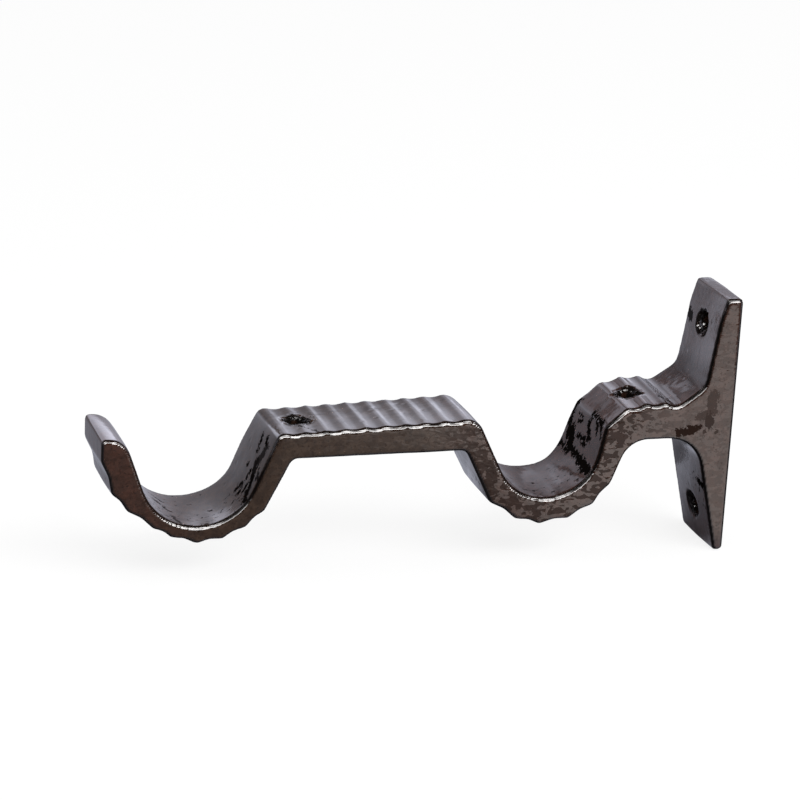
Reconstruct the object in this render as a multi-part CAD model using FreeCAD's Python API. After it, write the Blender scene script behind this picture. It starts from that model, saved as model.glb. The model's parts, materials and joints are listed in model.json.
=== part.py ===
import FreeCAD, Part
import math
import os

# Double curtain pole bracket: one iron casting with a hammered finish.
# It is a bar of constant width, bent into an open seat for each pole, with a
# bridge between them and a tapered wall plate. Ridges run across its width.
# X runs out from the wall, Y along the poles, Z up. The origin is the middle
# of the plate's flat back. Sizes are millimetres and angles are degrees.

# Casting
bracket_width = 25.0
edge_bevel = 0.6
corner_round = 1.0

# Wall plate
plate_height = 76.0
plate_top_thickness = 4.5
plate_waist_thickness = 6.3
plate_waist_drop = 6.5
plate_waist_round = 20.0
plate_root_thickness = 8.8
plate_root_z = 14.3
plate_foot_thickness = 2.6
plate_foot_taper = 12.8

# Arm between the plate and the hump, with its braces to the plate
arm_top_z = 5.8
arm_underside_z = -3.2
brace_knuckle_out = 0.8
brace_knuckle_drop = 2.5
brace_reach = 9.0
brace_round = 4.0
under_brace_round = 11.0

# Hump beside the back pole
hump_crest_z = 7.8
hump_past_brace = 3.1
hump_ridge_pitch = 6.0
hump_shoulder_to_pole = 22.9
hump_shoulder_drop = 1.3
hump_nose_drop = 6.4
hump_nose_round = 2.2
hump_under_round = 8.0
hump_under_lean = 21.2

# Back pole seat
back_pole_reach = 55.4
back_pole_z = -3.9
back_seat_r = 15.5
back_wall_side_flare = 10.5
back_room_side_flare = 26.3

# Bridge between the poles
bridge_back_top_z = 5.1
bridge_front_top_z = 3.1
bridge_back_under_z = -3.9
bridge_front_under_z = -4.5
bridge_back_shoulder = 3.8
bridge_front_shoulder = 1.8
bridge_back_round = 7.8
bridge_front_round = 2.6
bridge_under_round = 2.6
bridge_under_back_lean = 27.0
bridge_under_front_lean = 26.5
bridge_ridge_count = 9

# Front pole seat
front_pole_reach = 156.9
front_pole_z = -6.1
front_seat_r = 16.8
front_wall_side_flare = 23.0
front_room_side_flare = 20.0

# Tip of the arm
tip_past_pole = 27.8
tip_top_z = 3.4
tip_top_round = 6.6
tip_lip_height = 6.2
tip_ridge_back = 3.1
tip_ridge_drop = 15.8

# Hammered ridges. Round a seat each is the angle of its crest about the pole,
# from the room side to the wall side, and the thickness of the wall there.
back_seat_ridges = [(-43.9, 7.7), (-67.9, 7.7), (-86.4, 7.9), (-108.0, 7.7), (-128.6, 7.7), (-147.8, 7.3)]
front_seat_ridges = [(-29.8, 6.4), (-53.1, 4.3), (-69.0, 4.3), (-89.1, 5.1), (-108.6, 5.2), (-127.6, 5.5),
                     (-144.7, 6.1)]
seat_ridge_depth = 0.7
hump_ridge_depth = 1.2
bridge_ridge_depth = 0.7
crest_round = 2.0
hollow_round = 7.0

# Screw holes, countersunk where a screw goes in
wall_screw_spacing = 56.0
screw_hole_r = 2.6
screw_mouth_r = 4.2
screw_mouth_angle = 90.0
bridge_screw_to_pole = 30.0
hump_screw_to_pole = 27.0
cut_clearance = 4.0


def meet(first, second):
    """Where two straight lines cross, each given as a point and a direction."""
    (first_x, first_z), (first_run, first_rise) = first
    (second_x, second_z), (second_run, second_rise) = second
    cross = first_run * second_rise - first_rise * second_run
    share = ((second_x - first_x) * second_rise - (second_z - first_z) * second_run) / cross
    return first_x + first_run * share, first_z + first_rise * share


def level(z):
    """Level line at a height."""
    return (0.0, z), (1.0, 0.0)


def leaning(x, z, lean):
    """Line up through a point, leaning out from the wall by an angle."""
    return (x, z), (math.sin(math.radians(lean)), math.cos(math.radians(lean)))


def seat_side(pole_x, pole_z, seat_r, lean):
    """Straight side of a pole seat. It touches the seat's circle, and leans away from the pole."""
    side = math.copysign(seat_r, lean)
    touch_x = pole_x + side * math.cos(math.radians(lean))
    touch_z = pole_z - side * math.sin(math.radians(lean))
    return leaning(touch_x, touch_z, lean)


def seat_crests(pole_x, pole_z, seat_r, ridges):
    """Crests of the ridges round the outside of a pole seat."""
    crests = []
    for angle, wall in ridges:
        turn = math.radians(angle)
        crests.append((pole_x + (seat_r + wall) * math.cos(turn), pole_z + (seat_r + wall) * math.sin(turn)))
    return crests


def ridged(crests, depth):
    """Outline corners of a row of ridges: each crest, with a hollow of this depth between two crests.

    The outline runs clockwise as seen with X to the right, so a hollow lies to the right of its crests.
    """
    corners = []
    for (from_x, from_z), (to_x, to_z) in zip(crests, crests[1:]):
        sink = depth / math.dist((from_x, from_z), (to_x, to_z))
        hollow_x = (from_x + to_x) / 2 + (to_z - from_z) * sink
        hollow_z = (from_z + to_z) / 2 - (to_x - from_x) * sink
        corners.append((from_x, from_z, crest_round))
        corners.append((hollow_x, hollow_z, hollow_round))
    corners.append((*crests[-1], crest_round))
    return corners


def plate_top_face(z):
    """Thickness of the plate above the arm."""
    waist_z = plate_height / 2 - plate_waist_drop
    share = (waist_z - z) / (waist_z - plate_root_z)
    return plate_waist_thickness + (plate_root_thickness - plate_waist_thickness) * share


def plate_foot_face(z):
    """Thickness of the plate below the arm."""
    return plate_foot_thickness + (z + plate_height / 2) * math.tan(math.radians(plate_foot_taper))


def bridge_line(back_z, front_z):
    """Line along the bridge, from its height at the back pole to its height at the front pole."""
    return (back_pole_reach, back_z), (front_pole_reach - back_pole_reach, front_z - back_z)


# Sides of the two seats, which the hump, the bridge and the tip meet
back_seat = back_pole_reach, back_pole_z, back_seat_r
front_seat = front_pole_reach, front_pole_z, front_seat_r
back_wall_side = seat_side(*back_seat, -back_wall_side_flare)
back_room_side = seat_side(*back_seat, back_room_side_flare)
front_wall_side = seat_side(*front_seat, -front_wall_side_flare)
front_room_side = seat_side(*front_seat, front_room_side_flare)
back_crests = seat_crests(*back_seat, back_seat_ridges)
front_crests = seat_crests(*front_seat, front_seat_ridges)
tip_x = front_pole_reach + tip_past_pole


def plate_corners():
    """Back, top and front of the plate, down to the foot of the brace on the arm."""
    top_z = plate_height / 2
    return [
        (0.0, -top_z, corner_round),
        (0.0, top_z, corner_round),
        (plate_top_thickness, top_z, corner_round),
        (plate_waist_thickness, top_z - plate_waist_drop, plate_waist_round),
        (plate_root_thickness, plate_root_z, brace_round),
        (plate_root_thickness + brace_knuckle_out, plate_root_z - brace_knuckle_drop, brace_round),
        (plate_root_thickness + brace_reach, arm_top_z, brace_round),
    ]


def hump_corners():
    """Ridged hump on the arm, from the brace's foot to its nose over the back seat."""
    first_x = plate_root_thickness + brace_reach + hump_past_brace
    shoulder_x = back_pole_reach - hump_shoulder_to_pole
    ridge_count = max(1, round((shoulder_x - first_x) / hump_ridge_pitch))
    pitch = (shoulder_x - first_x) / ridge_count
    crests = [(first_x + pitch * ridge, hump_crest_z) for ridge in range(ridge_count)]
    crests.append((shoulder_x, hump_crest_z - hump_shoulder_drop))
    nose = meet(back_wall_side, level(hump_crest_z - hump_nose_drop))
    return ridged(crests, hump_ridge_depth) + [(*nose, hump_nose_round)]


def bridge_top_corners():
    """Ridged top of the bridge, with its shoulders over the two seats."""
    back_end = meet(back_room_side, level(bridge_back_top_z))
    front_end = meet(front_wall_side, level(bridge_front_top_z))
    first_x = back_end[0] + bridge_back_shoulder
    last_x = front_end[0] - bridge_front_shoulder
    crests = []
    for ridge in range(bridge_ridge_count + 1):
        share = ridge / bridge_ridge_count
        crest_z = bridge_back_top_z + (bridge_front_top_z - bridge_back_top_z) * share
        crests.append((first_x + (last_x - first_x) * share, crest_z))
    return [
        (*back_end, bridge_back_round),
        *ridged(crests, bridge_ridge_depth),
        (*front_end, bridge_front_round),
    ]


def tip_corners():
    """Rounded top of the tip, and the ridges down its face to the front seat."""
    lip = tip_x, tip_top_z - tip_lip_height
    middle = tip_x - tip_ridge_back, tip_top_z - tip_ridge_drop
    return [
        (*meet(front_room_side, level(tip_top_z)), tip_top_round),
        (tip_x, tip_top_z, corner_round),
        *ridged([lip, middle] + front_crests, seat_ridge_depth),
    ]


def underside_corners():
    """Underside of the bridge, of the back seat and of the arm, to the foot of the plate."""
    under = bridge_line(bridge_back_under_z, bridge_front_under_z)
    front_outer_wall = leaning(*front_crests[-1], -bridge_under_front_lean)
    back_outer_wall = leaning(*back_crests[0], bridge_under_back_lean)
    hump_outer_wall = leaning(*back_crests[-1], -hump_under_lean)
    return [
        (*meet(front_outer_wall, under), bridge_under_round),
        (*meet(back_outer_wall, under), bridge_under_round),
        *ridged(back_crests, seat_ridge_depth),
        (*meet(hump_outer_wall, level(arm_underside_z)), hump_under_round),
        (plate_foot_face(arm_underside_z), arm_underside_z, under_brace_round),
        (plate_foot_thickness, -plate_height / 2, corner_round),
    ]


def rounded_outline(corners):
    """Closed wire through the corners, each rounded to its radius as far as its two sides allow."""
    points = [FreeCAD.Vector(x, 0, z) for x, z, radius in corners]
    count = len(points)
    before = [(points[i - 1] - points[i]).normalize() for i in range(count)]
    after = [(points[(i + 1) % count] - points[i]).normalize() for i in range(count)]
    half_angles = [before[i].getAngle(after[i]) / 2 for i in range(count)]
    tangents = [corners[i][2] / math.tan(half_angles[i]) for i in range(count)]
    for i in range(count):
        following = (i + 1) % count
        side = 0.98 * points[i].distanceToPoint(points[following])
        wanted = tangents[i] + tangents[following]
        if wanted > side:
            tangents[i] *= side / wanted
            tangents[following] *= side / wanted
    edges = []
    for i in range(count):
        following = (i + 1) % count
        start = points[i] + before[i] * tangents[i]
        end = points[i] + after[i] * tangents[i]
        radius = tangents[i] * math.tan(half_angles[i])
        inward = (before[i] + after[i]).normalize()
        middle = points[i] + inward * (radius / math.sin(half_angles[i]) - radius)
        next_start = points[following] + before[following] * tangents[following]
        edges.append(Part.Arc(start, middle, end).toShape())
        edges.append(Part.makeLine(end, next_start))
    return Part.Wire(edges)


def make_bar():
    """Bar of the bracket's side view, with the edges of its two sides broken."""
    corners = plate_corners() + hump_corners()
    corners.append((*meet(back_wall_side, back_room_side), back_seat_r))
    corners += bridge_top_corners()
    corners.append((*meet(front_wall_side, front_room_side), front_seat_r))
    corners += tip_corners() + underside_corners()
    face = Part.Face(rounded_outline(corners))
    face.translate(FreeCAD.Vector(0, -bracket_width / 2, 0))
    bar = face.extrude(FreeCAD.Vector(0, bracket_width, 0))
    side_edges = [edge for edge in bar.Edges if edge.BoundBox.YLength < bracket_width / 2]
    return bar.makeChamfer(edge_bevel, side_edges)


def screw_hole(mouth, direction, wall):
    """Countersunk screw hole through a wall. The direction points from its mouth into the metal."""
    sink_depth = (screw_mouth_r - screw_hole_r) / math.tan(math.radians(screw_mouth_angle / 2))
    bore = Part.makeCylinder(screw_hole_r, wall + cut_clearance, mouth, direction)
    sink = Part.makeCone(screw_mouth_r, screw_hole_r, sink_depth, mouth, direction)
    lead_in = Part.makeCylinder(screw_mouth_r, cut_clearance, mouth - direction * cut_clearance, direction)
    return bore.fuse([sink, lead_in])


def screw_holes():
    """Two holes through the plate to the wall, and one down beside each pole."""
    into_wall = FreeCAD.Vector(-1, 0, 0)
    down = FreeCAD.Vector(0, 0, -1)
    top_z = wall_screw_spacing / 2
    top_wall = plate_top_face(top_z)
    foot_wall = plate_foot_face(-top_z)
    hump_x = back_pole_reach - hump_screw_to_pole
    bridge_x = front_pole_reach - bridge_screw_to_pole
    bridge_z = meet(bridge_line(bridge_back_top_z, bridge_front_top_z), ((bridge_x, 0.0), (0.0, 1.0)))[1]
    return [
        screw_hole(FreeCAD.Vector(top_wall, 0, top_z), into_wall, top_wall),
        screw_hole(FreeCAD.Vector(foot_wall, 0, -top_z), into_wall, foot_wall),
        screw_hole(FreeCAD.Vector(hump_x, 0, hump_crest_z), down, hump_crest_z - arm_underside_z),
        screw_hole(FreeCAD.Vector(bridge_x, 0, bridge_z), down, bridge_z - bridge_front_under_z),
    ]


bracket = make_bar()
for hole in screw_holes():
    bracket = bracket.cut(hole)
print("shape", bracket.ShapeType, "valid", bracket.isValid(), "volume", round(bracket.Volume))

os.makedirs("parts", exist_ok=True)
bracket.exportStep("parts/bracket.step")
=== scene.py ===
# Curtain pole bracket: the looks of a hammered iron casting under glossy brown-black lacquer.
# One piece stands for the casting. It is a finer copy of the CAD solid, with hammer marks added.

import json
import math

import bmesh
import bpy
from mathutils import Matrix, Quaternion, Vector


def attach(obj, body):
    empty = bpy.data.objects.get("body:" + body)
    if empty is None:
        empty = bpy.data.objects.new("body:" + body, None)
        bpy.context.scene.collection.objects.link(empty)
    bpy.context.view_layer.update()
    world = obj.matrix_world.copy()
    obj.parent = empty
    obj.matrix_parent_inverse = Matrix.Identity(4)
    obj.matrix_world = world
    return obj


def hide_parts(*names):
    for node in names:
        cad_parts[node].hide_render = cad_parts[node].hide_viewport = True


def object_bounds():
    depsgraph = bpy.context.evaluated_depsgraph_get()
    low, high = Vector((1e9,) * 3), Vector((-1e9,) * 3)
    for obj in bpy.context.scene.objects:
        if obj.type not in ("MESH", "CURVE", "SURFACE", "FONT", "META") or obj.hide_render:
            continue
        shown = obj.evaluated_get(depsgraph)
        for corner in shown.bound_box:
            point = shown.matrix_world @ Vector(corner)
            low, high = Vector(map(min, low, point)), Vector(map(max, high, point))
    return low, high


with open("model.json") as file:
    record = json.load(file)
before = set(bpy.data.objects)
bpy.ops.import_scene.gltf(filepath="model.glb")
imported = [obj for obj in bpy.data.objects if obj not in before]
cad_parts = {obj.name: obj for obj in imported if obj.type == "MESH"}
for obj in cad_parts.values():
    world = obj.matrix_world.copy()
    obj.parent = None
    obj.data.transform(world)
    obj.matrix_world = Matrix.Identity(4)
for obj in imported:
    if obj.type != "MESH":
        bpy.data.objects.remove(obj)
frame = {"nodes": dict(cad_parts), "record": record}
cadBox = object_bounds()
mm = 0.001
white = (1.0, 1.0, 1.0)


class Wire:
    # One socket of a node tree. Sums on wires add their Math nodes.

    def __init__(self, tree, socket=None):
        self.tree = tree
        self.socket = socket

    def node(self, kind, settings=None, inputs=None, output=0):
        # Any node: its settings first, then the values or wires of its sockets
        made = self.tree.nodes.new(kind)
        for name, value in (settings or {}).items():
            setattr(made, name, value)
        for name, value in (inputs or {}).items():
            if isinstance(value, Wire):
                self.tree.links.new(value.socket, made.inputs[name])
            else:
                made.inputs[name].default_value = value
        return Wire(self.tree, made.outputs[output])

    def maths(self, operation, first, second=0.0):
        return self.node("ShaderNodeMath", {"operation": operation}, {0: first, 1: second})

    def __add__(self, other):
        return self.maths("ADD", self, other)

    __radd__ = __add__

    def __sub__(self, other):
        return self.maths("SUBTRACT", self, other)

    def __rsub__(self, other):
        return self.maths("SUBTRACT", other, self)

    def __mul__(self, other):
        return self.maths("MULTIPLY", self, other)

    __rmul__ = __mul__

    def __truediv__(self, other):
        return self.maths("DIVIDE", self, other)

    def __rtruediv__(self, other):
        return self.maths("DIVIDE", other, self)

    def __abs__(self):
        return self.maths("ABSOLUTE", self)

    def __pow__(self, power):
        return self.maths("POWER", self, power)

    def least(self, other):
        return self.maths("MINIMUM", self, other)

    def most(self, other):
        return self.maths("MAXIMUM", self, other)

    def rise(self, low, high):
        # 0 below low and 1 above high, with a smooth step between them
        return self.node("ShaderNodeMapRange", {"interpolation_type": "SMOOTHSTEP"},
                         {"Value": self, "From Min": low, "From Max": high})

    def fall(self, low, high):
        return 1 - self.rise(low, high)

    def within(self, start, full, last, end):
        # 1 from full to last, and 0 outside start and end
        return self.rise(start, full) * self.fall(last, end)

    def parts(self):
        split = self.node("ShaderNodeSeparateXYZ", inputs={0: self}).socket.node
        return [Wire(self.tree, socket) for socket in split.outputs]


def vectorMaths(operation, first, second=(0.0, 0.0, 0.0), output=0):
    return first.node("ShaderNodeVectorMath", {"operation": operation}, {0: first, 1: second}, output)


def scaledVector(vector, scale):
    return scale.node("ShaderNodeVectorMath", {"operation": "SCALE"}, {0: vector, "Scale": scale})


def stretched(place, sizes):
    # The place in steps of these sizes, for a pattern that is longer one way. Its noise then has size 1
    return vectorMaths("DIVIDE", place, sizes)


def noise(place, size, detail=2.0, roughness=0.5, distortion=0.0, seed=0.0):
    # Value from about 0.2 to 0.8 that changes over a length of about size
    return place.node("ShaderNodeTexNoise", {"noise_dimensions": "4D"},
                      {"Vector": place, "W": seed, "Scale": 1 / size, "Detail": detail,
                       "Roughness": roughness, "Distortion": distortion})


def centred(pattern):
    # A noise about 0 instead of about its middle value
    return pattern - 0.5


def mixColours(share, first, second):
    first, second = (colour if isinstance(colour, Wire) else (*colour, 1.0) for colour in (first, second))
    return share.node("ShaderNodeMix", {"data_type": "RGBA"}, {0: share, 6: first, 7: second}, 2)


def attribute(wire, name):
    return wire.node("ShaderNodeAttribute", {"attribute_name": name}, output="Fac")


def objectPlace(wire):
    return wire.node("ShaderNodeTexCoord", output="Object")


def clearedTree(owner):
    owner.use_nodes = True
    owner.node_tree.nodes.clear()
    return Wire(owner.node_tree)


def giveOut(surface, kind="ShaderNodeOutputMaterial"):
    output = surface.tree.nodes.new(kind)
    surface.tree.links.new(surface.socket, output.inputs["Surface"])


# Screw holes

def screwHoles():
    # Places and axes of the casting's holes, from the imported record
    found = []
    for mount in frame["record"]["mounts"]:
        place = Vector(mount["pos_m"])
        if mount["kind"] == "bore":
            found.append({"middle": place, "axis": "Z"})
        if mount["kind"] == "bolt_pattern":
            half = mount["dims"]["spacing_y_mm"] * mm / 2
            for side in (1, -1):
                found.append({"middle": place + Vector((0, 0, side * half)), "axis": "X"})
    return found


def holeDistance(hole, x, y, z):
    across = x - hole["middle"].x if hole["axis"] == "Z" else z - hole["middle"].z
    return (across ** 2 + (y - hole["middle"].y) ** 2) ** 0.5


# The black in the holes' mouths is painted shade of their hollows
mouth = {
    "radius": {"Z": 4.2 * mm, "X": 3.5 * mm},    # bar holes run along Z, plate holes along X
    "barTop": (-3.0 * mm, -2.0 * mm),
    "plateFront": (0.8 * mm, 1.5 * mm, 10 * mm, 12 * mm),
    "edge": (-0.08 * mm, 0.04 * mm),
    "grainReach": 2.0 * mm,
    "lumpReach": 4.5 * mm,
    "leastBlack": 0.45,
    "blackGrains": (0.46, 0.51),
}


def mouthSide(hole, x, z):
    # 1 on the side of the metal where the screw goes in
    return z.rise(*mouth["barTop"]) if hole["axis"] == "Z" else x.within(*mouth["plateFront"])


holes = screwHoles()
print("holes", [tuple(round(v / mm, 1) for v in hole["middle"]) for hole in holes])

# Lacquer

lacquer = {
    "brown": (0.062, 0.029, 0.021),
    "oliveBrown": (0.056, 0.033, 0.022),
    "redBrown": (0.070, 0.029, 0.020),
    "darkBrown": (0.018, 0.011, 0.009),
    "edgeShadeBrown": (0.008, 0.005, 0.004),
    "oliveFrom": (68 * mm, 98 * mm),      # brown turns olive over this stretch of the bar,
    "redFrom": (150 * mm, 178 * mm),      # and red over this one
    "mottleSize": 2.6 * mm,
    "mottleLevel": (0.38, 0.62),
    "mottleShare": 0.45,
    "speckSize": 0.55 * mm,
    "speckLevel": (0.62, 0.68),
    "speckShare": 0.7,
    "edgeShadeShare": 0.85,
    "ior": 1.5,
    "roughness": 0.08,
    "wearSize": 7 * mm,
    "wearRoughness": 0.10,
    "edgeRoughness": 0.10,
    "backRoughness": 0.4,
    "backSkin": (0.1 * mm, 0.4 * mm),     # the plate's flat back is matt down to this depth
    "backMatt": 0.7,
    "peelSize": 1.1 * mm,
    "peelDepth": 0.008 * mm,
    "brushSizes": (3.0 * mm, 0.5 * mm, 3.0 * mm),
    "brushDepth": 0.008 * mm,
    "brushedPlate": (9 * mm, 13 * mm),    # the brush lines are deeper on the plate than past it
    "plateBrush": 4,
    "rippleSize": 3.2 * mm,
    "rippleDepth": 0.07 * mm,
    "edgeSmooth": 0.85,
    "crownTilt": 0.9,                     # how fast the faces round down towards their long edges
}

# Dull black and brown marks. The black is painted shade, except the seats' flecks and the matt back; the
# brown blots are the lacquer's own

black = {
    "black": (0.005, 0.004, 0.0038),
    "blotBrown": (0.019, 0.009, 0.006),
    "roughness": 0.6,
    "sliverSizes": (2.6 * mm, 0.8 * mm, 2.6 * mm),
    "sliverReach": 2.8 * mm,
    "grainSize": 0.9 * mm,
    "grainReach": 3.2 * mm,
    "lumpSize": 2.6 * mm,
    "strokeEdge": (0.25, 0.33),           # millimetres past a stroke's half width where it fades out
    "wallSquash": 5.0,
    # The rims and the gaps are painted shade on the broken edges
    "rimShare": 0.8,
    "gapSize": 4 * mm,
    "gapLevel": (0.50, 0.58),
    "gapShare": 0.8,
    "gapsTo": (150 * mm, 154 * mm),
}

# Ragged black strokes of painted shade, standing in for dark reflections: start, end and half width in
# millimetres, and how dark each one is. First those on the walls of the back seat, then of the front seat
wallStrokes = [
    ((39.0, -10.6, 2.0), (39.8, -10.4, -4.0), 0.60, 1.0),
    ((39.8, -10.4, -3.5), (40.4, -8.2, -8.0), 0.90, 1.0),
    ((40.2, -7.6, -5.4), (41.1, -4.6, -10.0), 1.60, 1.0),
    ((42.0, -11.8, -10.6), (41.5, -6.0, -11.0), 0.50, 1.0),
    ((41.4, -3.0, -10.2), (42.0, 4.2, -11.7), 0.65, 1.0),
    ((41.9, 3.5, -11.3), (42.4, 10.2, -12.4), 1.10, 1.0),
    ((37.9, 1.2, 2.0), (39.2, 1.4, -1.4), 0.50, 1.0),
    ((39.2, 1.4, -1.4), (39.8, 3.9, -4.9), 0.75, 1.0),
    ((38.0, 3.0, 1.6), (38.5, 8.4, 1.2), 0.55, 1.0),
    ((38.5, 8.6, 1.2), (39.3, 10.2, -2.4), 0.55, 1.0),
    ((38.8, 6.2, 0.7), (39.2, 7.0, -1.9), 0.40, 1.0),
    ((40.0, -2.6, -6.0), (39.9, 3.3, -5.2), 0.50, 1.0),
    ((39.0, -6.5, -0.6), (39.0, -3.9, -0.6), 0.35, 1.0),
    ((39.4, -5.4, -2.7), (39.2, -3.1, -1.7), 0.30, 1.0),
    ((40.3, 0.4, -7.5), (40.2, 3.0, -7.1), 0.40, 1.0),
    ((136.4, 1.2, -0.7), (138.1, 2.7, -4.7), 0.38, 1.0),
    ((136.0, 4.8, 0.1), (136.9, 6.4, -2.0), 0.26, 1.0),
    ((137.1, 7.4, -2.5), (138.8, 6.6, -6.4), 1.15, 0.85),
    ((139.0, 5.6, -6.8), (140.6, 7.5, -10.8), 1.15, 0.95),
    ((140.6, 7.4, -10.8), (142.7, 9.0, -15.1), 1.00, 1.0),
    ((142.7, 9.0, -15.1), (143.6, 10.2, -16.4), 0.75, 1.0),
    ((139.5, 8.9, -8.1), (140.4, 10.8, -10.3), 0.36, 0.9),
    ((140.3, 4.2, -9.9), (141.1, 3.6, -11.9), 0.30, 1.0),
    ((142.2, 2.5, -14.3), (143.5, 1.6, -16.2), 0.26, 1.0),
    ((142.1, 3.6, -14.1), (143.5, 4.4, -16.2), 0.28, 1.0),
    ((141.7, 6.2, -13.2), (142.6, 6.3, -14.9), 0.22, 1.0),
    ((139.8, 0.8, -8.8), (140.1, 0.7, -9.5), 0.24, 1.0),
]

# The same painted shade in the seats' bottoms, on the arm's near side, on the bridge and the hump,
# and on the plate
flatStrokes = [
    ((166.4, -6.4, -20.0), (163.9, -3.5, -21.4), 0.32, 0.8),
    ((166.6, -2.5, -19.8), (165.3, -0.5, -20.7), 0.38, 0.9),
    ((165.3, -0.5, -20.7), (163.1, 3.0, -21.7), 0.38, 0.9),
    ((163.5, 6.7, -21.5), (161.5, 10.6, -22.3), 0.30, 0.7),
    ((160.4, 11.2, -22.6), (157.9, 11.3, -23.2), 0.30, 0.9),
    ((156.8, 11.4, -23.4), (154.9, 11.4, -23.4), 0.34, 0.9),
    ((66.0, 7.0, -17.0), (62.5, 10.4, -20.5), 0.26, 0.9),
    ((62.0, 10.6, -21.0), (57.5, 11.3, -23.0), 0.30, 0.9),
    ((56.0, 11.4, -23.4), (53.5, 11.4, -23.0), 0.30, 0.8),
    ((16.2, 12.5, -1.1), (10.6, 12.5, -0.3), 0.90, 0.95),
    ((6.4, 12.5, 9.5), (6.9, 12.5, 6.0), 1.30, 0.60),
    ((6.6, 12.5, 5.0), (10.0, 12.5, 3.4), 1.20, 0.60),
    ((7.4, 12.5, 4.0), (7.4, 12.5, 0.4), 0.70, 0.75),
    ((4.6, 12.5, -1.2), (4.6, 12.5, -1.0), 0.20, 0.70),
    ((9.0, 12.5, -1.6), (9.2, 12.5, -1.7), 0.20, 0.70),
    ((127.4, 6.4, 3.3), (125.4, 7.9, 3.0), 0.16, 0.9),
    ((125.4, 7.9, 3.0), (123.8, 10.6, 3.0), 0.16, 0.8),
    ((20.9, 5.6, 7.6), (20.2, 7.2, 7.4), 0.20, 0.9),
    ((19.0, 7.4, 6.8), (18.6, 8.8, 6.6), 0.16, 0.9),
    ((6.9, -11.0, 28.4), (6.9, -8.4, 27.2), 1.20, 0.9),
    ((7.2, 7.4, -17.6), (7.1, 10.8, -18.4), 0.85, 1.0),
]


def strokeDistance(place, start, end):
    # Distance to the line from start to end
    along = end - start
    off = vectorMaths("SUBTRACT", place, tuple(start))
    share = vectorMaths("DOT_PRODUCT", off, tuple(along), "Value")
    share = (share / along.length_squared).most(0.0).least(1.0)
    away = vectorMaths("SUBTRACT", off, scaledVector(tuple(along), share))
    return vectorMaths("LENGTH", away, output="Value")


def shadeStrokesAndMouths(place, x, y, z):
    # Painted shade: the black strokes, ragged along the bar, and the black in the holes' mouths
    slivers = noise(stretched(place, black["sliverSizes"]), 1.0, roughness=0.6, distortion=0.6, seed=5.0)
    grains = noise(place, black["grainSize"], roughness=0.55, distortion=0.8, seed=15.0)
    lumps = noise(place, black["lumpSize"], roughness=0.6, distortion=0.5, seed=16.0)
    ragged = centred(slivers) * black["sliverReach"] + centred(grains) * black["grainReach"]
    marks = 0.0
    # A wall's strokes reach further along X, because the far side of the wall strays that way
    for strokes, squash in ((wallStrokes, black["wallSquash"]), (flatStrokes, 1.0)):
        squashed = stretched(place, (squash, 1.0, 1.0))
        for start, end, width, dark in strokes:
            ends = [Vector((v[0] / squash, v[1], v[2])) * mm for v in (start, end)]
            away = strokeDistance(squashed, *ends) + ragged
            marks = (away.fall(*((width + edge) * mm for edge in black["strokeEdge"])) * dark).most(marks)
    # Painted shade: black in the holes' mouths
    for hole in holes:
        radius = mouth["radius"][hole["axis"]]
        out = holeDistance(hole, x, y, z) + centred(grains) * mouth["grainReach"]
        out = out + centred(lumps) * mouth["lumpReach"]
        inside = out.fall(*(radius + edge for edge in mouth["edge"])) * mouthSide(hole, x, z)
        blackness = mouth["leastBlack"] + (1 - mouth["leastBlack"]) * grains.rise(*mouth["blackGrains"])
        marks = (inside * blackness).most(marks)
    return marks


sides = {
    "thick": (14 * mm, 34 * mm, 68 * mm, 98 * mm),  # the worms are thick about the back seat
    "leastBlots": 0.28,
    "leastRelief": 0.3,
    "wormSizes": (4.0 * mm, 2.4 * mm, 2.0 * mm),
    "fineSize": 0.8 * mm,
    "fineShare": 0.14,
    "busySize": 9 * mm,
    "busyLevel": (0.36, 0.58),
    "busyShare": 0.05,
    "blotLevel": (0.488, 0.506),
    "blotShare": 0.70,
    "rimLevel": (0.480, 0.490, 0.500, 0.516),
    "rimShare": 0.28,
    "fleckSize": 0.75 * mm,
    "fleckLevel": (0.61, 0.66),
    "fleckShare": 0.4,
    "lumpSize": 0.8,                      # in steps of wormSizes
    "reliefDepth": 0.22 * mm,
}


def sideBlots(place, x, side):
    # Dull dark worms and blots on the two sides, each with a darker rim, and flecks between them
    worms = noise(stretched(place, sides["wormSizes"]), 1.0, detail=1.5, distortion=1.4, seed=3.1)
    fine = noise(place, sides["fineSize"], distortion=0.6, seed=4.4)
    busy = noise(place, sides["busySize"], detail=1.0, seed=12.0).rise(*sides["busyLevel"])
    level = worms + centred(fine) * sides["fineShare"] + (busy - 1) * sides["busyShare"]
    blots = level.rise(*sides["blotLevel"]) * sides["blotShare"]
    blots = blots + level.within(*sides["rimLevel"]) * sides["rimShare"]
    blots = blots * (sides["leastBlots"] + (1 - sides["leastBlots"]) * x.within(*sides["thick"]))
    flecks = noise(place, sides["fleckSize"], detail=1.0, distortion=0.5, seed=23.0)
    return blots.most(flecks.rise(*sides["fleckLevel"]) * sides["fleckShare"]) * side


def sideRelief(place, x, side):
    # Height of the worms
    lumps = noise(stretched(place, sides["wormSizes"]), sides["lumpSize"], detail=1.0, roughness=0.4,
                  distortion=1.0, seed=13.0)
    strength = sides["leastRelief"] + (1 - sides["leastRelief"]) * x.within(*sides["thick"])
    return lumps * side * strength * sides["reliefDepth"]


seats = {
    "heights": (-27 * mm, -25 * mm, -16 * mm, -12 * mm),
    "fleckSizes": (2.2 * mm, 1.0 * mm, 2.2 * mm),
    "fleckLevel": (0.665, 0.695),
    "fleckShare": 0.85,
    "thickTo": (-6 * mm, 11 * mm),        # the flecks are thicker towards the near side
    "thickShare": 0.07,
}


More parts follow.
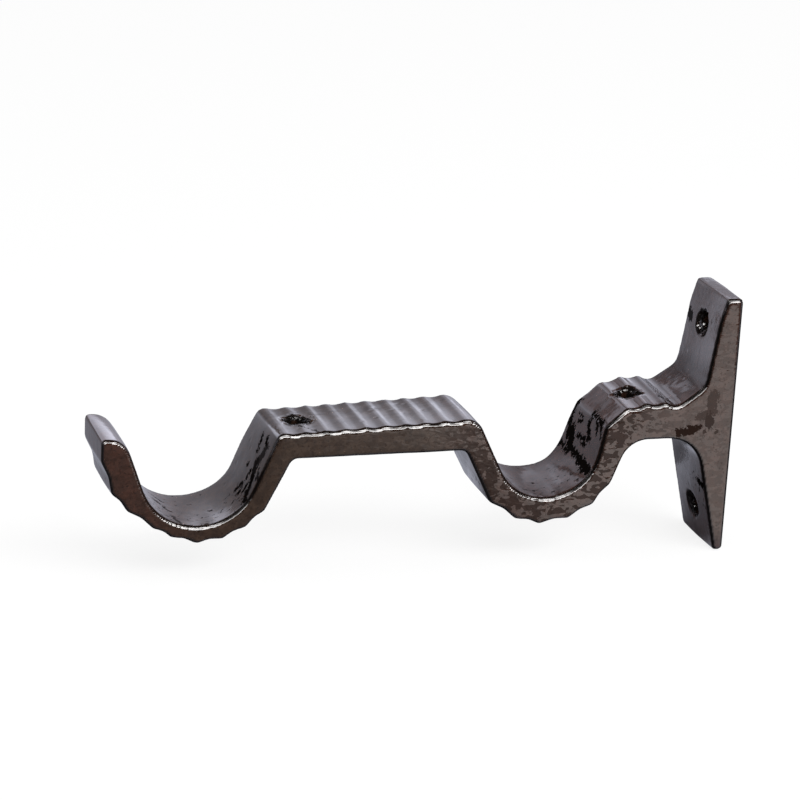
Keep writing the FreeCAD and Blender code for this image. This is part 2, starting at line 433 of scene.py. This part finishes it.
def seatFlecks(place, y, z, flat):
    # Small black flecks in the bottoms of the two seats
    flecks = noise(stretched(place, seats["fleckSizes"]), 1.0, roughness=0.6, distortion=0.8, seed=24.0)
    flecks = flecks + y.rise(*seats["thickTo"]) * seats["thickShare"]
    return flecks.rise(*seats["fleckLevel"]) * z.within(*seats["heights"]) * flat * seats["fleckShare"]


# Painted shade along the broken edges
edges = {
    "across": (11.3 * mm, 11.8 * mm),     # from the middle of the width, either way
    "backWall": (33 * mm, 36 * mm, 47 * mm, 51 * mm),
    "frontWall": (135 * mm, 138 * mm, 149 * mm, 153 * mm),
    "frontWallTop": (-8 * mm, -4 * mm),
    "fillet": (14 * mm, 16 * mm),
    "filletTop": (33 * mm, 35 * mm),
    "share": 0.97,
}


def shadedEdges(x, y, z, flat):
    # Painted shade that darkens the broken edges and puts out their highlight: up the walls of the seats, and
    # along the fillet to the plate
    backWall = x.within(*edges["backWall"])
    frontWall = x.within(*edges["frontWall"]) * z.fall(*edges["frontWallTop"])
    fillet = x.fall(*edges["fillet"]) * z.fall(*edges["filletTop"])
    return backWall.most(frontWall).most(fillet) * abs(y).rise(*edges["across"]) * flat * edges["share"]


# Places where painted shade dims the lacquer, in millimetres: the middle and the reach of each in the
# side view, and how dark it gets
dimmedPlaces = [
    {"middle": (19.8, 7.2), "reach": 6.0, "share": 0.40},
    {"middle": (9.8, 13.0), "reach": 8.0, "share": 0.36},
    {"middle": (53.5, -19.3), "reach": 13.0, "share": 0.22},
]


def bumpAbout(spot, x, z):
    # 1 at the middle of a spot of the side view, falling smoothly to 0 at its reach
    middleX, middleZ = (v * mm for v in spot["middle"])
    away = ((x - middleX) ** 2 + (z - middleZ) ** 2) / (spot["reach"] * mm) ** 2
    return (1 - away).most(0.0) ** 2


def paintedDimShare(x, z, flat):
    dull = 0.0
    for spot in dimmedPlaces:
        dull = bumpAbout(spot, x, z) * spot["share"] + dull
    return dull * flat


def lacquerColour(place, x, bevel):
    # Reddish at the tip and mottled all over. Dark along the edges, which is painted shade
    mottle = noise(place, lacquer["mottleSize"], detail=3.0, roughness=0.6, distortion=0.6, seed=8.0)
    specks = noise(place, lacquer["speckSize"], detail=1.0, seed=18.0)
    colour = mixColours(x.rise(*lacquer["oliveFrom"]), lacquer["brown"], lacquer["oliveBrown"])
    colour = mixColours(x.rise(*lacquer["redFrom"]), colour, lacquer["redBrown"])
    mottled = mottle.rise(*lacquer["mottleLevel"]) * lacquer["mottleShare"]
    specked = specks.rise(*lacquer["speckLevel"]) * lacquer["speckShare"]
    colour = mixColours(mottled, colour, lacquer["darkBrown"])
    colour = mixColours(specked, colour, lacquer["darkBrown"])
    return mixColours(bevel * lacquer["edgeShadeShare"], colour, lacquer["edgeShadeBrown"])


def lacquerNormal(place, x, y, side, bevel):
    # Orange peel, fine brush lines, faces rounded down to their long edges, and the worms' relief
    peel = noise(place, lacquer["peelSize"], distortion=0.3, seed=1.0)
    ripple = noise(place, lacquer["rippleSize"], detail=1.0, roughness=0.4, seed=2.0)
    brush = noise(stretched(place, lacquer["brushSizes"]), 1.0, distortion=0.2, seed=11.0)
    brushDepth = lacquer["brushDepth"] * (1 + x.fall(*lacquer["brushedPlate"]) * lacquer["plateBrush"])
    height = peel * lacquer["peelDepth"] + brush * brushDepth + ripple * lacquer["rippleDepth"] * (1 - side)
    height = height * (1 - bevel * lacquer["edgeSmooth"])
    height = height - y * y * lacquer["crownTilt"] * (1 - side) + sideRelief(place, x, side)
    return place.node("ShaderNodeBump", None, {"Strength": 1.0, "Distance": 1.0, "Height": height})


def lacquerMaterial():
    made = bpy.data.materials.new("brownBlackLacquer")
    wire = clearedTree(made)
    place = objectPlace(wire)
    x, y, z = place.parts()
    side, bevel, rim = (attribute(wire, name) for name in ("sideShare", "bevelShare", "rimShare"))
    flat = 1 - side
    back = x.fall(*lacquer["backSkin"])

    # Share of the dull marks: painted shade (strokes, holes' mouths, rims, gaps and edges, dimmed places),
    # the flat back, blots and flecks
    # Painted shade: dull gaps that break the highlight on the broken edges
    gaps = noise(place, black["gapSize"], detail=0.0, seed=21.0).rise(*black["gapLevel"]) * bevel
    gaps = gaps * x.fall(*black["gapsTo"]) * black["gapShare"]
    marks = shadeStrokesAndMouths(place, x, y, z).most(rim * black["rimShare"]).most(gaps)
    marks = marks.most(back * lacquer["backMatt"]).most(sideBlots(place, x, side))
    marks = marks.most(seatFlecks(place, y, z, 1 - side.most(bevel)))
    marks = marks.most(shadedEdges(x, y, z, flat)).most(paintedDimShare(x, z, flat))

    normal = lacquerNormal(place, x, y, side, bevel)
    wear = noise(place, lacquer["wearSize"], detail=3.0, roughness=0.6, seed=6.0)
    roughness = lacquer["roughness"] + centred(wear) * lacquer["wearRoughness"]
    roughness = roughness + back * lacquer["backRoughness"] + bevel.most(rim) * lacquer["edgeRoughness"]
    gloss = wire.node("ShaderNodeBsdfPrincipled", None, {
        "Base Color": lacquerColour(place, x, bevel), "Roughness": roughness, "IOR": lacquer["ior"],
        "Normal": normal})
    dull = wire.node("ShaderNodeBsdfPrincipled", None, {
        "Base Color": mixColours(side, black["black"], black["blotBrown"]), "Roughness": black["roughness"],
        "IOR": lacquer["ior"], "Specular IOR Level": 0.0, "Normal": normal})
    giveOut(wire.node("ShaderNodeMixShader", None, {0: marks, 1: gloss, 2: dull}))
    print("lacquer", len(made.node_tree.nodes), "nodes")
    return made


# Casting

casting = {
    "voxel": 0.49 * mm,
    "smoothFactor": 0.5,
    "smoothTurns": 4,
    "waveSizes": (6.0 * mm, 16.0 * mm, 6.0 * mm),
    "crownedFacing": (0.5, 0.95),         # facing is 0 on the bar's faces and 1 on its two sides
    "sideFacing": (0.90, 0.98),
    "bevelFacing": (0.10, 0.35, 0.88, 0.99),
    # The rims get painted shade along the broken edges
    "rimFrom": (0.06, 0.18),
    "rimTo": (0.42, 0.55),
    "lowRimTo": (0.86, 0.95),             # the rim is wider where the surface looks down
    "lookingDown": (0.05, 0.25),
    "chipLevel": (0.45, 0.65),
    "mergeGap": 0.001 * mm,
}

# Inputs of the casting's Geometry Nodes
hammering = {
    "Grow": 0.36 * mm,                    # makes good what the dents and the smoothing take off
    "Crown": 0.20 * mm,
    "Wave Depth": 0.16 * mm,
    "Dent Depth": 0.16 * mm,
    "Dent Size": 7.0 * mm,
    "Peel Depth": 0.035 * mm,
    "Peel Size": 2.2 * mm,
    "Pit Density": 9000.0,
    "Pit Depth": 0.13 * mm,
    "Pit Radius": 0.7 * mm,
    "Chip Depth": 0.5 * mm,
    "Chip Size": 1.5 * mm,
    "Chip Reach": 1.2 * mm,
    "Flat Back": 0.5 * mm,
    "Seed": 7,
}

# Where the far side of the casting strays from the near side, in millimetres: the middle and the
# reach of each in the side view, and the shift along X and Z that it grows to across the width
castingLeans = [
    {"middle": (22.0, 5.0), "reach": 22.0, "shift": (0.0, 1.1)},
    {"middle": (42.0, -8.0), "reach": 14.0, "shift": (2.2, 0.5)},
    {"middle": (56.0, -24.0), "reach": 26.0, "shift": (0.5, 2.0)},
    {"middle": (157.0, -28.0), "reach": 28.0, "shift": (0.5, 1.2)},
    {"middle": (142.0, -6.0), "reach": 15.0, "shift": (0.9, 0.2)},
]


def mergedCopy(name, source):
    mesh = source.data.copy()
    mesh.name = name
    made = bmesh.new()
    made.from_mesh(mesh)
    bmesh.ops.remove_doubles(made, verts=made.verts, dist=casting["mergeGap"])
    made.to_mesh(mesh)
    made.free()
    mesh.materials.clear()
    copy = bpy.data.objects.new(name, mesh)
    bpy.context.scene.collection.objects.link(copy)
    return copy


def castingLean(x, y, z):
    # How far each point strays, from nothing on the near side to the whole shift on the far side
    across = (cadBox[1].y - y) / (cadBox[1].y - cadBox[0].y)
    shiftX = 0.0
    shiftZ = 0.0
    for lean in castingLeans:
        weight = bumpAbout(lean, x, z) * across
        shiftX = weight * (lean["shift"][0] * mm) + shiftX
        shiftZ = weight * (lean["shift"][1] * mm) + shiftZ
    return across.node("ShaderNodeCombineXYZ", None, {"X": shiftX, "Y": 0.0, "Z": shiftZ})


def storedShares(geometry, normal):
    # Shares for the lacquer: the two sides, the broken edges round them, and the dark rims of the edges,
    # where the lacquer gets painted shade
    normalY, normalZ = normal.parts()[1:]
    facing = abs(normalY)
    lowRim = facing.fall(*casting["lowRimTo"]) * normalZ.fall(*casting["lookingDown"])
    shares = {
        "sideShare": facing.rise(*casting["sideFacing"]),
        "bevelShare": facing.within(*casting["bevelFacing"]),
        "rimShare": facing.rise(*casting["rimFrom"]) * facing.fall(*casting["rimTo"]).most(lowRim),
    }
    for name, share in shares.items():
        geometry = geometry.node("GeometryNodeStoreNamedAttribute", {"data_type": "FLOAT", "domain": "POINT"},
                                 {"Geometry": geometry, "Name": name, "Value": share})
    return geometry


def hammerDepth(value, place, normal):
    # How deep each point sinks: crowned faces with long waves, dents, finer peel, pits and chips
    x, y, z = place.parts()
    crown = (y / cadBox[1].y) ** 2 * value["Crown"]
    waves = noise(stretched(place, casting["waveSizes"]), 1.0, detail=1.0, roughness=0.4,
                  distortion=0.4, seed=6.0)
    dents = noise(place, value["Dent Size"], detail=1.0, roughness=0.4, seed=2.0)
    peel = noise(place, value["Peel Size"], detail=1.5, seed=4.0)
    points = place.node("GeometryNodeDistributePointsOnFaces", None, {
        "Mesh": value["Geometry"], "Density": value["Pit Density"], "Seed": value["Seed"]})
    away = place.node("GeometryNodeProximity", {"target_element": "POINTS"},
                      {"Geometry": points, "Sample Position": place}, output="Distance")
    crowned = abs(normal.parts()[1]).fall(*casting["crownedFacing"])
    depth = dents * value["Dent Depth"] + peel * value["Peel Depth"]
    depth = depth + away.fall(0.0, value["Pit Radius"]) * value["Pit Depth"]
    depth = (crown + waves * value["Wave Depth"]) * crowned + depth
    chips = noise(place, value["Chip Size"], detail=1.0, seed=9.0).rise(*casting["chipLevel"])
    for hole in holes:
        off = abs(holeDistance(hole, x, y, z) - mouth["radius"][hole["axis"]])
        rim = off.fall(0.0, value["Chip Reach"]) * mouthSide(hole, x, z)
        depth = rim * chips * value["Chip Depth"] + depth
    return depth


def castingTree(material):
    tree = bpy.data.node_groups.new("hammeredCasting", "GeometryNodeTree")
    face = tree.interface
    face.new_socket("Geometry", in_out="INPUT", socket_type="NodeSocketGeometry")
    for name, value in hammering.items():
        kind = "NodeSocketInt" if isinstance(value, int) else "NodeSocketFloat"
        face.new_socket(name, in_out="INPUT", socket_type=kind)
    face.new_socket("Geometry", in_out="OUTPUT", socket_type="NodeSocketGeometry")
    wire = Wire(tree)
    given = tree.nodes.new("NodeGroupInput")
    value = {socket.name: Wire(tree, socket) for socket in given.outputs if socket.name}
    place = wire.node("GeometryNodeInputPosition")
    normal = wire.node("GeometryNodeInputNormal")
    x, y, z = place.parts()
    normalX, normalZ = normal.parts()[::2]

    # The flat back stays flat, and the whole stays inside the solid's own box
    onFront = x.rise(0.0, value["Flat Back"])
    outline = wire.node("ShaderNodeCombineXYZ", None, {"X": normalX, "Y": 0.0, "Z": normalZ})
    depth = hammerDepth(value, place, normal)
    moved = vectorMaths("ADD", place, scaledVector(normal, depth * onFront * -1.0))
    moved = vectorMaths("ADD", moved, scaledVector(outline, value["Grow"]))
    moved = vectorMaths("ADD", moved, scaledVector(castingLean(x, y, z), onFront))
    moved = vectorMaths("MAXIMUM", moved, tuple(cadBox[0]))
    moved = vectorMaths("MINIMUM", moved, tuple(cadBox[1]))
    shaped = wire.node("GeometryNodeSetPosition", None, {
        "Geometry": storedShares(value["Geometry"], normal), "Position": moved})
    smooth = wire.node("GeometryNodeSetShadeSmooth", None, {0: shaped})
    real = wire.node("GeometryNodeRealizeInstances", None, {0: smooth})
    painted = wire.node("GeometryNodeSetMaterial", None, {"Geometry": real, "Material": material})
    output = tree.nodes.new("NodeGroupOutput")
    tree.links.new(painted.socket, output.inputs[0])
    return tree


def makeCasting():
    piece = mergedCopy("hammeredCasting", frame["nodes"]["bracket"])
    remesh = piece.modifiers.new("remesh", "REMESH")
    remesh.mode = "VOXEL"
    remesh.voxel_size = casting["voxel"]
    smooth = piece.modifiers.new("smooth", "SMOOTH")
    smooth.factor = casting["smoothFactor"]
    smooth.iterations = casting["smoothTurns"]
    finish = piece.modifiers.new("finish", "NODES")
    finish.node_group = castingTree(lacquerMaterial())
    for socket in finish.node_group.interface.items_tree:
        if socket.in_out == "INPUT" and socket.name in hammering:
            finish[socket.identifier] = hammering[socket.name]
    bpy.context.view_layer.update()
    evaluated = piece.evaluated_get(bpy.context.evaluated_depsgraph_get())
    mesh = bpy.data.meshes.new_from_object(evaluated)
    piece.modifiers.clear()
    piece.data = mesh
    mesh.name = "hammeredCasting"
    triangles = sum(len(polygon.vertices) - 2 for polygon in mesh.polygons)
    print("casting", len(mesh.vertices), "points", triangles, "triangles")
    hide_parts("bracket")
    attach(piece, "root")


makeCasting()

# Studio

coolLight = (0.82, 0.85, 1.0)


def rayKinds(wire):
    rays = wire.node("ShaderNodeLightPath").socket.node
    return Wire(wire.tree, rays.outputs["Is Camera Ray"]), Wire(wire.tree, rays.outputs["Is Glossy Ray"])


def greyColour(value):
    return value.node("ShaderNodeCombineColor", None, {"Red": value, "Green": value, "Blue": value})


def paintedSheet(name, corners, material):
    mesh = bpy.data.meshes.new(name)
    mesh.from_pydata(corners, [], [(0, 1, 2, 3)])
    mesh.materials.append(material)
    made = bpy.data.objects.new(name, mesh)
    bpy.context.scene.collection.objects.link(made)
    return made


ground = {
    "z": cadBox[0].z,
    "half": 4.0,
    "paint": 0.20,                        # what it throws back of the lamp, with the shadow in it
    "glow": 0.82,                         # and its own light, which only the camera sees
    "behindPaint": (0.36, 0.37, 0.44),
    "behindGlow": 0.30,
    "behind": (-0.05, -0.018),
    "frontGlow": 2.2,
    "frontColour": (1.0, 0.94, 0.91),
    "frontFrom": (0.0, 0.03),
    "frontTo": (0.25, 0.45),
    "nearPlate": (0.015, 0.075),
    "nearPlateShare": 0.65,
    "nearBridge": (0.05, 0.14),
    "nearBridgeShare": 0.25,
    "leastShare": 0.13,
    "wallSide": (-0.18, -0.12),
}


def makeFloor():
    material = bpy.data.materials.new("paleFloor")
    wire = clearedTree(material)
    seen, mirrored = rayKinds(wire)
    x, y = objectPlace(wire).parts()[:2]
    # In the lacquer the floor is dim behind the bracket. In front it is pale, but dark towards the tip
    front = y.rise(*ground["frontFrom"])
    back = mirrored * (1 - front)
    shade = greyColour((1 - mirrored) * ground["paint"])
    colour = mixColours(back, shade, ground["behindPaint"])
    paint = wire.node("ShaderNodeBsdfDiffuse", None, {"Color": colour})
    share = x.fall(*ground["nearPlate"]) * ground["nearPlateShare"]
    share = share + x.fall(*ground["nearBridge"]) * ground["nearBridgeShare"] + ground["leastShare"]
    share = share * y.fall(*ground["frontTo"]) * x.rise(*ground["wallSide"])
    glow = front * share * ground["frontGlow"] + y.fall(*ground["behind"]) * ground["behindGlow"]
    glow = mirrored * glow + seen * ground["glow"]
    tint = mixColours(mirrored * front, white, ground["frontColour"])
    tint = mixColours(back, tint, coolLight)
    light = wire.node("ShaderNodeEmission", None, {"Color": tint, "Strength": glow})
    giveOut(wire.node("ShaderNodeAddShader", None, {0: paint, 1: light}))
    half = ground["half"]
    corners = [(-half, -half), (half, -half), (half, half), (-half, half)]
    floor = paintedSheet("floor", [(x, y, ground["z"]) for x, y in corners], material)


card = {
    "y": -0.05,
    "from": (-0.03, -0.038),
    "to": (0.24, 0.062),
    "glow": 0.40,
    "rise": 2.0,
    "lift": 80.0,
    "liftFoot": -0.001,
    "lowTop": (0.006, 0.012),             # the seats see the card up to here,
    "seat": (0.040, 0.044, 0.052, 0.058),
    "seatTop": (0.013, 0.017),            # and a little higher beside the back seat
    "seatsTo": (0.14, 0.185),
    "post": (0.024, 0.027, 0.040, 0.044),
    "postFoot": (-0.001, 0.003),
    "postStart": 0.026,
    "postRise": 78.0,
    "tip": (0.150, 0.158),
    "tipFoot": (0.008, 0.016),
    "tipGlow": 1.7,
    "top": (0.0, 0.01),
    "topFoot": (0.044, 0.047),
    "topGlow": 0.35,
    "dimFoot": (-0.034, -0.026),
    "dimTo": (0.026, 0.040),
    "dim": 0.4,
}


def makeCard():
    # A low card close behind the bracket, which only mirrored light sees. Clear parts of it show the sky
    material = bpy.data.materials.new("cardGlow")
    wire = clearedTree(material)
    x, z = objectPlace(wire).parts()[::2]
    # The seats see the card's low part, the plate's front a post, its top the top, and the tip the far end
    post = x.within(*card["post"]) * z.rise(*card["postFoot"])
    tip = x.rise(*card["tip"])
    top = z.rise(*card["topFoot"]) * x.fall(*card["top"])
    seat = x.within(*card["seat"]) * z.fall(*card["seatTop"])
    shown = z.fall(*card["lowTop"]).most(seat).most(post).most(tip).most(top)
    low = x * card["rise"] + (z - card["liftFoot"]).most(0.0) * card["lift"]
    glow = x.fall(*card["seatsTo"]) * low * (1 - post) * (1 - top) + card["glow"]
    glow = glow + z.rise(*card["tipFoot"]) * tip * card["tipGlow"] + top * card["topGlow"]
    glow = glow + post * ((x - card["postStart"]) * card["postRise"]).most(0.0)
    glow = glow * (1 - z.fall(*card["dimFoot"]) * x.fall(*card["dimTo"]) * card["dim"])
    light = wire.node("ShaderNodeEmission", None, {"Color": (*coolLight, 1.0), "Strength": glow})
    clear = wire.node("ShaderNodeBsdfTransparent")
    giveOut(wire.node("ShaderNodeMixShader", None, {0: shown, 1: clear, 2: light}))
    (left, low), (right, high) = card["from"], card["to"]
    corners = [(left, low), (left, high), (right, high), (right, low)]
    made = paintedSheet("card", [(x, card["y"], z) for x, z in corners], material)
    made.visible_camera = False
    made.visible_diffuse = False
    made.visible_shadow = False


sky = {
    "worldGlow": 0.66,                    # lights the diffuse colours from all round
    "leastMirror": 0.04,
    "behind": (-0.25, 0.10),
    "lowerThan": (0.56, 0.70),
    "horizonTop": (0.10, 0.35),
    "horizonSide": (0.0, 0.30),
    "horizonGlow": 0.60,
    "windowMiddle": (-0.395, 0.185),
    "windowSize": (0.10, 0.13),
    "windowGlow": 1.4,
    "stripAhead": (0.06, 0.16, 0.90, 1.20),
    "stripAlong": (-1.5, -1.0, 0.8, 2.4),
    "stripFoot": (0.1, 0.2),
    "stripGlow": 24.0,
    "arcBend": 1.7,                       # the level top faces see an arc of the sky, high in its middle
    "arcHeight": 0.43,
    "arcRise": 8.0,
    "arcGlow": 1.06,
    "arcLeast": 0.5,
    "arcMost": 1.9,
    "wallSide": (-0.27, -0.12),           # minus X is the wall's side, plus X the tip's side
    "wallSideShare": 0.30,
    "leastShare": 0.78,
    "band": (0.405, 0.43, 0.455, 0.49),
    "bandSide": (-0.06, 0.04),
    "bandDim": 0.7,
    "tipDim": 0.35,
    "tipDimSide": (0.05, 0.20),
    "wallDim": 0.65,
    "wallDimSide": (-0.44, -0.38),
    "aboveBand": (0.46, 0.50),
    "aboveBandGlow": 0.7,
}


def skyGlow(x, y, z):
    # Paler the higher it lies above the arc that the level top faces see. On the tip's side is a dark band
    above = z + x * x * sky["arcBend"] - sky["arcHeight"]
    glow = (above * sky["arcRise"] + sky["arcGlow"]).most(sky["arcLeast"]).least(sky["arcMost"])
    glow = glow * (x.fall(*sky["wallSide"]) * sky["wallSideShare"] + sky["leastShare"])
    bandSide = x.rise(*sky["bandSide"])
    glow = glow * (1 - z.within(*sky["band"]) * bandSide * sky["bandDim"])
    glow = glow * (1 - x.rise(*sky["tipDimSide"]) * sky["tipDim"])
    glow = glow * (1 - x.fall(*sky["wallDimSide"]) * sky["wallDim"])
    return glow + z.rise(*sky["aboveBand"]) * bandSide * sky["aboveBandGlow"]


def makeWorld():
    world = bpy.data.worlds.new("paleStudio")
    bpy.context.scene.world = world
    wire = clearedTree(world)
    seen, mirrored = rayKinds(wire)
    x, y, z = wire.node("ShaderNodeTexCoord", output="Generated").parts()
    # The camera sees white. The lacquer sees a pale horizon, a low window, the sky and a strip overhead
    horizon = z.fall(*sky["horizonTop"]) * x.rise(*sky["horizonSide"]) * sky["horizonGlow"]
    (middleX, middleZ), (wide, tall) = sky["windowMiddle"], sky["windowSize"]
    off = (((x - middleX) / wide) ** 2 + ((z - middleZ) / tall) ** 2) ** 0.5
    window = off.fall(0.0, 1.0) * sky["windowGlow"]
    overhead = z.most(0.001)
    strip = (y / overhead).within(*sky["stripAhead"]) * (x / overhead).within(*sky["stripAlong"])
    strip = strip * z.rise(*sky["stripFoot"])
    behind = z.fall(*sky["lowerThan"]) * y.fall(*sky["behind"])
    mirror = behind * (horizon + window + skyGlow(x, y, z)) + strip * sky["stripGlow"] + sky["leastMirror"]
    strength = seen + (1 - seen) * (mirrored * mirror + (1 - mirrored) * sky["worldGlow"])
    tint = mixColours(mirrored * strip.fall(0.0, 0.1), white, coolLight)
    light = wire.node("ShaderNodeBackground", None, {"Color": tint, "Strength": strength})
    giveOut(light, "ShaderNodeOutputWorld")


lamp = {"place": (-0.35, 0.75, 0.85), "aim": (0.09, 0.0, 0.0), "size": (1.2, 0.5), "power": 10.0}


def makeLamp():
    data = bpy.data.lights.new("key", "AREA")
    data.shape = "RECTANGLE"
    data.size, data.size_y = lamp["size"]
    data.energy = lamp["power"]
    made = bpy.data.objects.new("key", data)
    made.location = lamp["place"]
    made.rotation_mode = "QUATERNION"
    made.rotation_quaternion = (Vector(lamp["aim"]) - Vector(lamp["place"])).to_track_quat("-Z", "Y")
    bpy.context.scene.collection.objects.link(made)


camera = {
    "place": (0.358829, 0.828115, 0.282731),
    "aim": (0.096857, -0.000040, 0.007777),
    "rollDegrees": 3.236,
    "lens": 145.28,
    "sensor": 36.0,
    "clip": (0.05, 50.0),
}


def makeCamera():
    data = bpy.data.cameras.new("camera")
    data.lens = camera["lens"]
    data.sensor_width = camera["sensor"]
    data.clip_start, data.clip_end = camera["clip"]
    made = bpy.data.objects.new("camera", data)
    bpy.context.scene.collection.objects.link(made)
    place = Vector(camera["place"])
    turn = (Vector(camera["aim"]) - place).to_track_quat("-Z", "Y")
    roll = Quaternion((0, 0, 1), math.radians(camera["rollDegrees"]))
    made.matrix_world = Matrix.Translation(place) @ (turn @ roll).to_matrix().to_4x4()
    bpy.context.scene.camera = made


makeFloor()
makeCard()
makeWorld()
makeLamp()
makeCamera()
bpy.context.scene.view_settings.view_transform = "Standard"
print("studio ready")
